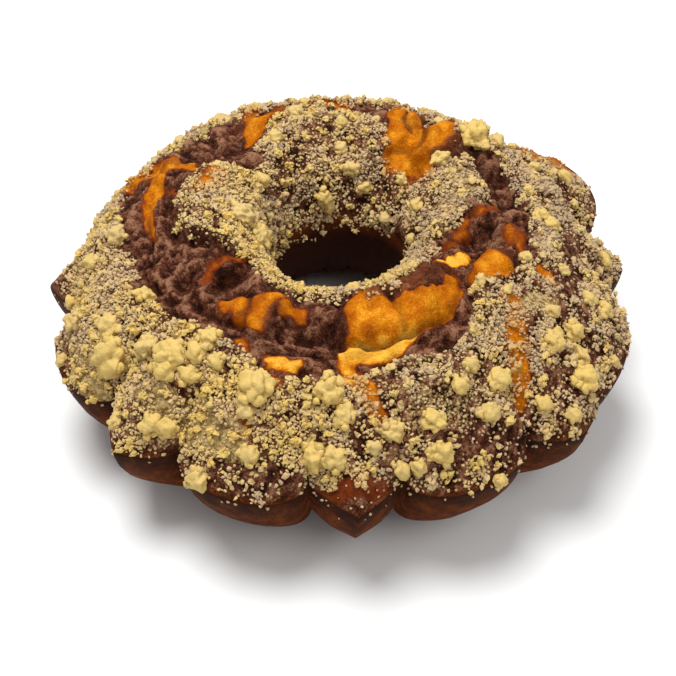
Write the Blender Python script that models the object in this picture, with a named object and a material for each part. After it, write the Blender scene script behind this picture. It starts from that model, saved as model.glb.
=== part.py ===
# Marble cake baked in a fluted ring pan: flutes down, risen and split side up, topping baked on.
# Metres, +Z up. The origin is on the surface that the cake stands on, at the middle of its outline.

import math
import random

import bmesh
import bpy
from mathutils import Vector, noise

MM = 0.001

# Driving sizes, in millimetres
TIP_REACH = 127.0       # centre to the tip of a lobe: a 10 inch pan
RIM_HEIGHT = 46.0       # where the pan ended and the free rise begins
CREST_HEIGHT = 86.0     # top of the risen crown
TUBE_REACH = 29.0       # radius of the hole
FOOT_REACH = 78.0       # circle of the flat spots that the cake stands on
FOOT_WIDTH = 9.0
FOOT_LIFT = 5.0         # how far the grooves stay clear of the table
CREST_PLACE = 0.45      # where the crest stands between the hole (0) and the rim (1)
CENTRE_SHIFT = (0.5, 3.0)   # from the middle of the outline to the middle of the hole

# Lobes go round from +X, counter-clockwise from above: even ones are pointed, odd ones are round
LOBE_COUNT = 16
POINTED_HALF = 9.3      # half the width of a pointed lobe, in degrees
POINTED_STEPS = 3       # steps of the mesh over that half
ROUND_STEPS = 5         # and over half a round lobe
LOBE_REACH = (127, 125, 118, 120, 122, 122, 119, 120, 128, 128, 131, 126, 128, 126, 130, 128)
LOBE_RIM = (46, 61, 50, 46, 45, 45, 45, 44, 46, 45, 45, 45, 46, 46, 46, 46)
LOBE_CREST = (85, 86, 86, 86, 86, 88, 92, 92, 89, 87, 85, 84, 84, 84, 84, 85)
# How square the shoulder over the hole is on the side of each lobe: 2.4 is round
LOBE_SHOULDER = (4, 3, 2.4, 2.4, 2.4, 2.4, 2.6, 3, 3.6, 4.2, 3.4, 3.6, 4.6, 5.5, 6, 5.5)
# How sharp each pointed lobe is: 0.9 comes to a point, 0.5 is full and blunt
LOBE_POINT = (0.9, 0.9, 0.9, 0.9, 0.9, 0.5, 0.9, 0.5)
# Radius of each groove, from the one after the first pointed lobe
GROOVE_REACH = (112, 112, 112, 112, 112, 112, 112, 112, 112, 109, 112, 112, 112, 112, 124, 113)

# How many points the turned profile has along each stretch
WALL_POINTS = 7
SLOPE_POINTS = 10
INNER_POINTS = 6
BORE_POINTS = 4

# The split along the crest: inner and outer radius of the bare crumb, one pair every 7.5 degrees
SPLIT_STEP = 7.5
SPLIT_EDGES = (
    (50, 80), (64, 80), (65, 80), (66, 81), (67, 76), (42, 69), (42, 76), (44, 80),
    (45, 82), (58, 83), (66, 83), (69, 83), (76, 83), (77, 83), (76, 83), (70, 84),
    (62, 84), (56, 85), (47, 86), (45, 87), (45, 90), (58, 103), (66, 101), (68, 97),
    (69, 95), (68, 95), (62, 95), (54, 94), (48, 91), (46, 87), (47, 84), (50, 84),
    (51, 84), (52, 91), (50, 90), (50, 88), (50, 88), (53, 85), (54, 82), (50, 84),
    (43, 84), (41, 80), (40, 69), (39, 71), (38, 78), (42, 80), (42, 81), (46, 81),
)
SPLIT_DEPTH = 2.5
SPLIT_CRAGS = 3.2        # height of the crags of the bare crumb, and their spacing
CRAG_SPACING = 8.0
SLOPE_BUMPS = 1.6        # the same for the crumbed slopes
BUMP_SPACING = 11.0
TOPPING_DEPTH = 1.0      # how much the fine topping adds to the slopes

# Blocks, ledges and hollows: angle, radius, half length round the ring, half width across, rise
RISES = {
    "front block": (282, 61, 22, 11, 6.0),
    "front block, right": (306, 61, 11, 9, 4.0),
    "front ledge": (283, 82, 27, 7, -4.0),
    "front hollow": (256, 72, 12, 7, -6.0),
    "front lump": (241, 64, 8, 11, 5.0),
    "left slope": (193, 82, 42, 14, -5.0),
    "left hump": (174, 52, 27, 16, 5.0),
    "left ridge": (211, 56, 7, 9, 4.0),
    "left hollow": (222, 62, 7, 7, -5.0),
    "left block": (232, 70, 7, 6, 3.0),
    "left spur": (180, 79, 15, 4, 3.0),
    "back left hollow": (138, 68, 17, 13, -6.0),
    "back hump": (98, 49, 28, 16, 3.0),
    "back right lump": (64, 65, 9, 14, 5.0),
    "back right block": (47, 66, 9, 14, 6.0),
    "right pile": (33, 75, 9, 9, 4.0),
    "right crack": (14, 72, 13, 7, -6.0),
    "right hollow": (347, 60, 9, 7, -7.0),
    "right lump": (351, 74, 8, 6, 3.0),
    "right block": (330, 69, 11, 8, 5.0),
    "front right lump": (309, 50, 13, 7, 4.0),
}

# The largest lumps of the topping, each as angle, radius and size across
LUMPS = (
    (212, 112, 14), (208, 107, 12), (225, 97, 13), (226, 102, 11), (219, 100, 10), (248, 95, 13),
    (260, 107, 12), (264, 110, 12), (35, 74, 12), (38, 80, 10), (192, 36, 11), (186, 41, 10),
    (263, 93, 10), (320, 106, 10), (326, 119, 10), (277, 103, 9), (266, 111, 9), (232, 87, 9),
    (229, 117, 9), (198, 116, 9), (205, 89, 9), (286, 105, 9), (286, 113, 9), (36, 56, 9),
    (126, 90, 9), (233, 113, 8), (250, 117, 8), (278, 112, 8), (305, 103, 8), (327, 111, 8),
    (339, 114, 8), (182, 94, 8), (105, 67, 8), (356, 88, 8),
)
LARGE_LUMP = 10.5       # lumps over this size are rounder
CRUMB_SIZES = (5.0, 7.5)
CRUMB_COUNT = 34
CRUMB_GAP = 9.0         # least distance from a scattered crumb's middle to the edge of another lump
LUMP_FLATNESS = 0.72
LUMP_SUNK = 0.12        # how far a lump's middle lies above the surface, in parts of its size
CRUMB_LIMIT = 122.0     # crumbs lie on the risen side, not past this radius
CRUMB_TOP_SLOPE = 0.25  # nor where the surface is steeper than this normal height
SEED = 9


def clamp(value, low=0.0, high=1.0):
    return max(low, min(high, value))


def smooth(low, high, value):
    part = clamp((value - low) / (high - low))
    return part * part * (3 - 2 * part)


def dome(place, shoulder=2.4):
    """Height of the risen side over the rim, 0 to 1, at a place between the hole (0) and the rim (1)."""
    if place > CREST_PLACE:
        return 1 - ((place - CREST_PLACE) / (1 - CREST_PLACE)) ** 1.9
    squareness = clamp((shoulder - 2.4) / 3.6)
    return max(0.0, 1 - ((CREST_PLACE - place) / CREST_PLACE) ** shoulder) ** (0.6 - 0.1 * squareness)


def turned_profile():
    """Closed profile of an even ring with every lobe at full reach, counter-clockwise from the foot."""
    outer_foot = FOOT_REACH + FOOT_WIDTH / 2
    inner_foot = FOOT_REACH - FOOT_WIDTH / 2
    points = [(inner_foot, 0.0), (outer_foot, 0.0)]
    for i in range(1, WALL_POINTS + 1):
        rise = 1 - math.cos(math.pi / 2 * i / WALL_POINTS)
        swell = 0.93 * math.sqrt(1 - (1 - rise) ** 2.1) + 0.07 * rise
        points.append((outer_foot + (TIP_REACH - outer_foot) * swell, RIM_HEIGHT * rise))
    height = CREST_HEIGHT - RIM_HEIGHT
    width = TIP_REACH - TUBE_REACH
    for i in range(1, SLOPE_POINTS + 1):
        place = 1 - (1 - CREST_PLACE) * i / SLOPE_POINTS
        points.append((TUBE_REACH + width * place, RIM_HEIGHT + height * dome(place)))
    for i in range(1, INNER_POINTS + 1):
        place = CREST_PLACE * (1 - math.sin(math.pi / 2 * i / INNER_POINTS))
        points.append((TUBE_REACH + width * place, RIM_HEIGHT + height * dome(place)))
    for i in range(1, BORE_POINTS):
        drop = math.sin(math.pi / 2 * i / BORE_POINTS)
        flare = 1 - (1 - drop ** 2) ** 0.45
        points.append((TUBE_REACH + (inner_foot - TUBE_REACH) * flare, RIM_HEIGHT * (1 - drop)))
    return points


def warped_angle(angle):
    """Moves evenly spaced angles, in degrees, so that mesh edges run along every tip and groove."""
    period = 2 * 360 / LOBE_COUNT
    steps = 2 * (POINTED_STEPS + ROUND_STEPS)
    turn = math.floor(angle / period + 0.5)
    step = (angle / period - turn) * steps
    if abs(step) <= POINTED_STEPS:
        offset = abs(step) / POINTED_STEPS * POINTED_HALF
    else:
        rest = (abs(step) - POINTED_STEPS) / ROUND_STEPS
        offset = POINTED_HALF + rest * (period / 2 - POINTED_HALF)
    return turn * period + math.copysign(offset, step)


def lobe_at(angle):
    """Which lobe an angle is in, and how full it is there: 0 in a groove, 1 at the tip."""
    period = 2 * 360 / LOBE_COUNT
    turn = math.floor(angle / period + 0.5)
    offset = angle - turn * period
    if abs(offset) <= POINTED_HALF:
        sharpness = LOBE_POINT[int(turn) % len(LOBE_POINT)]
        return int(2 * turn) % LOBE_COUNT, (1 - abs(offset) / POINTED_HALF) ** sharpness
    side = (period / 2 - abs(offset)) / (period / 2 - POINTED_HALF)
    return int(2 * turn + math.copysign(1, offset)) % LOBE_COUNT, max(0.0, 1 - side ** 2.4) ** 0.5


def blended(values, places, angle, width):
    """One value out of many round the ring, blended over a width in degrees."""
    total = 0.0
    weights = 0.0
    for place, value in zip(places, values):
        away = (angle - place + 180) % 360 - 180
        weight = math.exp(-((away / width) ** 2))
        total += weight * value
        weights += weight
    return total / weights


def round_ring(values, angle, width):
    """The same for one value for every lobe."""
    return blended(values, [i * 360 / LOBE_COUNT for i in range(LOBE_COUNT)], angle, width)


def groove_at(angle):
    """Radius of the grooves near an angle."""
    period = 2 * 360 / LOBE_COUNT
    places = []
    for i in range(LOBE_COUNT // 2):
        places += [i * period + POINTED_HALF, (i + 1) * period - POINTED_HALF]
    return blended(GROOVE_REACH, places, angle, 9)


def split_edges(angle):
    """Inner and outer radius of the bare split at an angle."""
    place = (angle % 360) / SPLIT_STEP
    first = int(place)
    part = place - first
    here = SPLIT_EDGES[first % len(SPLIT_EDGES)]
    after = SPLIT_EDGES[(first + 1) % len(SPLIT_EDGES)]
    return [a + (b - a) * part for a, b in zip(here, after)]


def bareness(angle, radius):
    """1 in the middle of the split, 0 on the crumbed slopes."""
    inner, outer = split_edges(angle)
    return smooth(inner - 1.5, inner + 1.5, radius) * (1 - smooth(outer - 2, outer + 2, radius))


def relief(angle, radius):
    """Height of the risen surface over the even dome."""
    bare = bareness(angle, radius)
    turned = math.radians(angle)
    spot = Vector((radius * math.cos(turned), radius * math.sin(turned), 0.0))
    height = -SPLIT_DEPTH * bare
    height += SPLIT_CRAGS * bare * noise.noise(spot / CRAG_SPACING)
    height += (1 - bare) * (TOPPING_DEPTH + SLOPE_BUMPS * noise.noise(spot / BUMP_SPACING))
    for at_angle, at_radius, half_length, half_width, rise in RISES.values():
        away = (angle - at_angle + 180) % 360 - 180
        along = math.radians(away) * at_radius / half_length
        across = (radius - at_radius) / half_width
        height += rise / (1 + (along ** 2 + across ** 2) ** 4)
    return height


def shaped(point):
    """Moves a point of the evenly turned ring to its place on the fluted, split cake, in millimetres."""
    angle = warped_angle(math.degrees(math.atan2(point.y, point.x)))
    radius = math.hypot(point.x, point.y)
    height = point.z
    lobe, fullness = lobe_at(angle)
    groove = groove_at(angle)
    rim_reach = groove + (LOBE_REACH[lobe] - groove) * fullness
    rim = round_ring(LOBE_RIM, angle, 10)
    outer_foot = FOOT_REACH + FOOT_WIDTH / 2
    if height > RIM_HEIGHT + 0.01:
        crest = round_ring(LOBE_CREST, angle, 16)
        place = (radius - TUBE_REACH) / (TIP_REACH - TUBE_REACH)
        fluting = clamp(2 * place - 1) ** 1.6
        even_reach = groove + 0.6 * (round_ring(LOBE_REACH, angle, 10) - groove)
        reach = even_reach + (rim_reach - even_reach) * fluting
        radius = TUBE_REACH + (reach - TUBE_REACH) * place
        height = rim + (crest - rim) * dome(place, round_ring(LOBE_SHOULDER, angle, 14))
        height += relief(angle, radius) * smooth(rim, rim + 12, height)
    else:
        if radius > outer_foot:
            radius = outer_foot + (rim_reach - outer_foot) * (radius - outer_foot) / (TIP_REACH - outer_foot)
        low = 1 - height / RIM_HEIGHT
        height = rim * height / RIM_HEIGHT
        if radius > TUBE_REACH + 1:
            height += FOOT_LIFT * (1 - smooth(0.0, 0.6, fullness)) * low ** 1.5
    turned = math.radians(angle)
    return Vector((radius * math.cos(turned), radius * math.sin(turned), height))


def new_object(name, bm, collection):
    mesh = bpy.data.meshes.new(name)
    bm.to_mesh(mesh)
    bm.free()
    made = bpy.data.objects.new(name, mesh)
    collection.objects.link(made)
    return made


def make_body(collection):
    """The ring itself: the profile spun round the hole, its points then moved to the fluted shape."""
    bm = bmesh.new()
    corners = [bm.verts.new((radius, 0.0, height)) for radius, height in turned_profile()]
    edges = [bm.edges.new((a, b)) for a, b in zip(corners, corners[1:] + corners[:1])]
    steps = LOBE_COUNT * (POINTED_STEPS + ROUND_STEPS)
    bmesh.ops.spin(
        bm,
        geom=corners + edges,
        cent=(0, 0, 0),
        axis=(0, 0, 1),
        angle=math.tau,
        steps=steps,
        use_merge=True,
    )
    for vertex in bm.verts:
        vertex.co = shaped(vertex.co) * MM
    bmesh.ops.remove_doubles(bm, verts=bm.verts, dist=0.01 * MM)
    bmesh.ops.recalc_face_normals(bm, faces=bm.faces)
    return new_object("marble_cake", bm, collection)


def crumbed_spots(body):
    """Every face of the risen side that carries topping, as its angle, radius, middle and normal."""
    spots = []
    for face in body.data.polygons:
        middle = face.center
        radius = math.hypot(middle.x, middle.y) / MM
        angle = math.degrees(math.atan2(middle.y, middle.x)) % 360
        on_top = face.normal.z > CRUMB_TOP_SLOPE and middle.z > RIM_HEIGHT * MM
        if on_top and radius < CRUMB_LIMIT and bareness(angle, radius) < 0.3:
            spots.append((angle, radius, middle.copy(), face.normal.copy()))
    return sorted(spots, key=lambda spot: (round(spot[0], 3), round(spot[1], 3)))


def chosen_lumps(spots, draw):
    """The named lumps at the spots nearest to them, then crumbs spread evenly over what is left."""
    lumps = []
    for angle, radius, size in LUMPS:
        turned = math.radians(angle)
        wanted = Vector((radius * math.cos(turned), radius * math.sin(turned)))
        nearest = min(spots, key=lambda spot: (spot[2].xy / MM - wanted).length)
        lumps.append((nearest[2], nearest[3], size))
    order = list(spots)
    draw.shuffle(order)
    placed = 0
    for _, _, middle, normal in order:
        size = draw.uniform(*CRUMB_SIZES)
        clear = all((middle - other).length > (CRUMB_GAP + width / 2) * MM for other, _, width in lumps)
        if clear and placed < CRUMB_COUNT:
            lumps.append((middle, normal, size))
            placed += 1
    return lumps


def make_lump(index, middle, normal, size, draw, collection):
    """One lump of topping, a flattened ball with an uneven outline, half sunk in the surface."""
    bm = bmesh.new()
    radius = size / 2 * MM
    if size > LARGE_LUMP:
        bmesh.ops.create_icosphere(bm, subdivisions=2, radius=radius)
    else:
        bmesh.ops.create_uvsphere(bm, u_segments=5, v_segments=4, radius=radius)
    offset = Vector((draw.uniform(-9, 9), draw.uniform(-9, 9), draw.uniform(-9, 9)))
    stretch = draw.uniform(0.85, 1.2)
    for vertex in bm.verts:
        vertex.co *= 1 + 0.3 * noise.noise(vertex.co / radius * 1.3 + offset)
        vertex.co.x *= stretch
        vertex.co.z *= LUMP_FLATNESS
    turn = normal.to_track_quat("Z", "Y").to_matrix().to_4x4()
    bmesh.ops.rotate(bm, verts=bm.verts, cent=(0, 0, 0), matrix=turn)
    bmesh.ops.translate(bm, verts=bm.verts, vec=middle + normal * size * LUMP_SUNK * MM)
    return new_object(f"lump_{index:03d}", bm, collection)


def fuse(body, collection):
    """Joins the lumps to the ring, as one closed body."""
    union = body.modifiers.new("topping", "BOOLEAN")
    union.operation = "UNION"
    union.operand_type = "COLLECTION"
    union.collection = collection
    union.solver = "MANIFOLD"
    graph = bpy.context.evaluated_depsgraph_get()
    joined = bpy.data.meshes.new_from_object(body.evaluated_get(graph))
    body.modifiers.clear()
    body.data = joined
    for lump in list(collection.objects):
        bpy.data.objects.remove(lump)
    bpy.data.collections.remove(collection)


def keep_largest_shell(bm):
    """Drops loose scraps, and fills hollows that the fusing sealed, by keeping the outer shell alone."""
    left = set(bm.faces)
    shells = []
    while left:
        shell = set()
        edge_of_search = [left.pop()]
        while edge_of_search:
            face = edge_of_search.pop()
            shell.add(face)
            for other in {near for edge in face.edges for near in edge.link_faces}:
                if other in left:
                    left.remove(other)
                    edge_of_search.append(other)
        shells.append(shell)
    largest = max(shells, key=len)
    loose = [face for shell in shells if shell is not largest for face in shell]
    bmesh.ops.delete(bm, geom=loose, context="FACES")


def finish(body):
    """Cleans the joined mesh, lays its foot spots flat on the table and centres the outline."""
    bm = bmesh.new()
    bm.from_mesh(body.data)
    bmesh.ops.dissolve_degenerate(bm, edges=bm.edges, dist=0.02 * MM)
    keep_largest_shell(bm)
    # Points with two edges only lie along a straight line between the same two faces
    in_line = [vertex for vertex in bm.verts if len(vertex.link_edges) == 2]
    bmesh.ops.dissolve_verts(bm, verts=in_line)
    bmesh.ops.triangulate(bm, faces=bm.faces)
    shift = Vector((CENTRE_SHIFT[0] * MM, CENTRE_SHIFT[1] * MM, 0.0))
    bmesh.ops.translate(bm, verts=bm.verts, vec=shift)
    bm.to_mesh(body.data)
    bm.free()
    body.data.shade_smooth()
    body.data.set_sharp_from_angle(angle=math.radians(50))


def crumb_material():
    """Baked crumb topping over dark cake, as one colour."""
    material = bpy.data.materials.new("baked_crumb")
    material.use_nodes = True
    shader = material.node_tree.nodes["Principled BSDF"]
    shader.inputs["Base Color"].default_value = (0.42, 0.30, 0.13, 1.0)
    shader.inputs["Roughness"].default_value = 0.85
    shader.inputs["Metallic"].default_value = 0.0
    return material


def main():
    for old in list(bpy.data.objects):
        bpy.data.objects.remove(old)
    cake = bpy.data.collections.new("marble_cake")
    topping = bpy.data.collections.new("topping")
    bpy.context.scene.collection.children.link(cake)
    bpy.context.scene.collection.children.link(topping)
    draw = random.Random(SEED)
    body = make_body(cake)
    lumps = chosen_lumps(crumbed_spots(body), draw)
    for index, (middle, normal, size) in enumerate(lumps):
        make_lump(index, middle, normal, size, draw, topping)
    fuse(body, topping)
    finish(body)
    body.data.materials.append(crumb_material())


main()
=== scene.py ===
import itertools
import math

import bmesh
import bpy
import numpy as np
from mathutils import Matrix, Vector, noise


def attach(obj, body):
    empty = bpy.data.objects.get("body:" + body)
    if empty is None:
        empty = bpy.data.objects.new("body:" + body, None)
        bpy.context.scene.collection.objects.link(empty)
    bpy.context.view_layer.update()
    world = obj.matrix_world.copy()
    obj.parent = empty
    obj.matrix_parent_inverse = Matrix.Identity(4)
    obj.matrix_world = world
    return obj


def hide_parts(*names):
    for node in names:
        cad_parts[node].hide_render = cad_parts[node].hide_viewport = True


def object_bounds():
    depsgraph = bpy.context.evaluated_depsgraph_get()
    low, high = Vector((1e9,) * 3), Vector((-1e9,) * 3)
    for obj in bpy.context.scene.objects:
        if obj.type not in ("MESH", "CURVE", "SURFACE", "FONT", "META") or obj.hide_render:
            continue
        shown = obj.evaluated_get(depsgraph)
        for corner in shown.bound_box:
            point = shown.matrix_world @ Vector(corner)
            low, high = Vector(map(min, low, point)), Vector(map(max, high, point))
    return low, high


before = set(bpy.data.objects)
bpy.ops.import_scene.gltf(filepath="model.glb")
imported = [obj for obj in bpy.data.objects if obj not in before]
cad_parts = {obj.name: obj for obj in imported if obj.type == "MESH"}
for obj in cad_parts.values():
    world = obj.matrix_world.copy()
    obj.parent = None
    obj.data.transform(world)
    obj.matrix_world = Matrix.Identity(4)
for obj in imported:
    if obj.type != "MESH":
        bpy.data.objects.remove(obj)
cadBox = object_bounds()
mm = 0.001
boxLow, boxHigh = np.array(cadBox) / mm

# The cake's own shape, in millimetres; the same sizes as its solid
cake = {
    "tipReach": 127.0,  # centre to the tip of a lobe
    "rimHeight": 46.0,  # where the pan ended
    "crestHeight": 86.0,
    "holeRadius": 29.0,
    "footRadius": 78.0,
    "footWidth": 9.0,
    "footLift": 5.0,
    "crestPlace": 0.45,  # between the hole (0) and the rim (1)
    "holeMiddle": (0.5, 3.0),
    "pairTurn": 45.0,  # from one pointed lobe to the next, in degrees
    "pointedHalf": 9.3,  # half a pointed lobe, in degrees
    "roundness": 2.4,  # of the round lobes
    "wallShape": (0.93, 2.1, 0.07),  # round part of the wall, its roundness, and straight part
    "boreShape": 0.45,
    "outerCurve": 1.9,  # of the slope down to the rim
    "softShoulder": 2.4,
    "shoulderSpan": 3.6,  # from the softest to the squarest shoulder
    "innerCurve": (0.6, 0.1),  # of the slope down to the hole, and how much a square one takes off
    "flutingCurve": 1.6,  # how late the flutes fade out towards the crest
    "evenShare": 0.6,  # how far the crest follows the lobes' reach
    # how many degrees each size is blended over
    "blend": {"reach": 10, "rim": 10, "crest": 16, "shoulder": 14, "groove": 9},
    "pointedSteps": 14,
    "roundSteps": 21,
    "wallPoints": 28,
    "slopePoints": 74,
    "innerPoints": 46,
    "borePoints": 20,
    # lobes counter-clockwise from +X: even ones pointed, odd ones round
    "lobeReach": (127, 125, 118, 120, 122, 122, 119, 120, 128, 128, 131, 126, 128, 126, 130, 128),
    "lobeRim": (46, 61, 50, 46, 45, 45, 45, 44, 46, 45, 45, 45, 46, 46, 46, 46),
    "lobeCrest": (85, 86, 86, 86, 86, 88, 92, 92, 89, 87, 85, 84, 84, 84, 84, 85),
    # how square the shoulder over the hole is, on each lobe's side
    "lobeShoulder": (4, 3, 2.4, 2.4, 2.4, 2.4, 2.6, 3, 3.6, 4.2, 3.4, 3.6, 4.6, 5.5, 6, 5.5),
    # how sharp each pointed lobe is, and the radius of the groove after and before each
    "lobePoint": (0.9, 0.9, 0.9, 0.9, 0.9, 0.5, 0.9, 0.5),
    "grooveReach": (112, 112, 112, 112, 112, 112, 112, 112, 112, 109, 112, 112, 112, 112, 124, 113),
}

# The split along the crest: its inner and outer radius every 7.5 degrees
split = {
    "step": 7.5,
    "edges": (
        (50, 80), (64, 80), (65, 80), (66, 81), (67, 76), (42, 69), (42, 76), (44, 80),
        (45, 82), (58, 83), (66, 83), (69, 83), (76, 83), (77, 83), (76, 83), (70, 84),
        (62, 84), (56, 85), (47, 86), (45, 87), (45, 90), (58, 103), (66, 101), (68, 97),
        (69, 95), (68, 95), (62, 95), (54, 94), (48, 91), (46, 87), (47, 84), (50, 84),
        (51, 84), (52, 91), (50, 90), (50, 88), (50, 88), (53, 85), (54, 82), (53, 84),
        (46, 84), (44, 80), (45, 69), (41, 71), (41, 78), (42, 80), (42, 81), (46, 81),
    ),
    "softEdges": (1.2, 1.5),
    "depth": 2.5,
    "crags": 3.2,
    "cragSpacing": 8.0,
    "cellSwell": 0.5,
    "bumps": 1.6,
    "bumpSpacing": 11.0,
    # what stands or sinks: angle, radius, half length round the ring, half width across, rise
    "rises": {
        "front block": (282, 61, 22, 11, 6.0),
        "front block, right": (306, 61, 11, 9, 4.0),
        "front ledge": (283, 82, 27, 7, -4.0),
        "front hollow": (256, 72, 12, 7, -6.0),
        "front lump": (241, 64, 8, 11, 5.0),
        "left slope": (193, 82, 42, 14, -5.0),
        "left hump": (174, 52, 27, 16, 5.0),
        "left ridge": (211, 56, 7, 9, 4.0),
        "left hollow": (222, 62, 7, 7, -5.0),
        "left block": (232, 70, 7, 6, 3.0),
        "left spur": (180, 79, 15, 4, 3.0),
        "back left hollow": (138, 68, 17, 13, -6.0),
        "back hump": (98, 49, 28, 16, 3.0),
        "back right lump": (64, 65, 9, 14, 5.0),
        "back right block": (47, 66, 9, 14, 6.0),
        "right pile": (33, 75, 9, 9, 4.0),
        "right crack": (14, 72, 13, 7, -6.0),
        "right hollow": (347, 60, 9, 7, -7.0),
        "right lump": (351, 74, 8, 6, 3.0),
        "right block": (330, 69, 11, 8, 5.0),
        "front right lump": (309, 50, 13, 7, 4.0),
    },
    # cracks and undercut edges: depth and half width, then angle and radius of each corner
    "creases": {
        "under the front block": (4.0, 1.0, (267, 72), (274, 74.5), (281, 74.5), (289, 73), (300, 72)),
        "right of the block": (2.5, 1.2, (300, 72), (306, 70), (311, 66.5), (316, 62.5), (319, 58)),
        "notch in the block": (2.0, 1.3, (287, 72), (288, 62), (287, 55)),
        "left of the block": (3.0, 1.3, (265, 51), (267, 60), (267.5, 68), (267.5, 74)),
        "beside the cap": (2.5, 1.2, (319, 60), (317, 53), (318, 46), (324, 42)),
        "yellow strip": (2.0, 1.1, (320, 61), (327, 59), (333, 61)),
        "right block's end": (2.5, 1.3, (338, 64), (339, 70), (335, 77), (330, 80)),
        "under the right ridge": (2.5, 1.3, (326, 40), (336, 46), (341, 52), (345, 54)),
        "right ridge's back": (2.0, 1.2, (350, 44), (350, 50), (356, 56), (2, 57)),
        "right slope's edge": (2.5, 1.2, (336, 38), (344, 42), (353, 46), (0, 49), (5, 54)),
        "right crack": (3.0, 1.5, (2, 70), (10, 72), (18, 72), (26, 70)),
        "back right": (3.5, 1.3, (57, 80), (54, 71), (50, 62), (49, 54)),
        "back right, low": (2.5, 1.2, (61, 50), (54, 54), (47, 56), (40, 57)),
        "back right lump": (3.0, 1.2, (68, 82), (62, 76), (63, 69), (57, 63)),
        "across the back right": (2.5, 1.1, (72, 70), (66, 66), (60, 67), (54, 66)),
        "back left": (3.0, 1.6, (146, 77), (138, 74), (131, 69), (129, 62)),
        "left hump's edge": (4.0, 1.6, (184, 73), (190, 69), (196, 64), (200, 58), (205, 53), (210, 50)),
        "under the left ridge": (3.0, 1.5, (219, 69), (218, 62), (219, 55), (221, 50)),
        "left block": (2.5, 1.3, (226, 77), (231, 78), (236, 76), (237, 70), (233, 64)),
        "front lump's curl": (3.0, 1.3, (241, 79), (246, 75), (244, 69), (245, 63), (249, 66), (255, 62)),
        "front hollow": (2.5, 1.6, (246, 80), (252, 79), (258, 77), (265, 78)),
    },
}

# Fine relief, in millimetres: how far apart its bumps are, and how high they stand
surface = {
    "middlingSpacing": 4.5,
    "fineSpacing": 2.2,
    "poreSpacing": 1.2,
    "cellSpacing": 7.5,  # the crumb cracks between cells
    "crackWidth": 0.2,  # as a share of a cell
    "crackedSpacing": 16,  # between the areas that have cracks
    "crustSpacing": 14,
    "stray": (1.8, 0.8),  # how far borders stray with the middling and the fine bumps
    # middling bumps, fine bumps, pores, and depth of the cracks
    "darkCrumb": (1.0, 0.8, 0.5, 0.8),
    "lightCrumb": (0.5, 0.2, 0.1, 0.5),
    "slope": (0.6, 0.4, 0.2),  # middling and fine bumps, and thickness of the crumb coat
    "crust": (0.3, 0.15, 0.08),  # wide, middling and fine bumps
}

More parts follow.
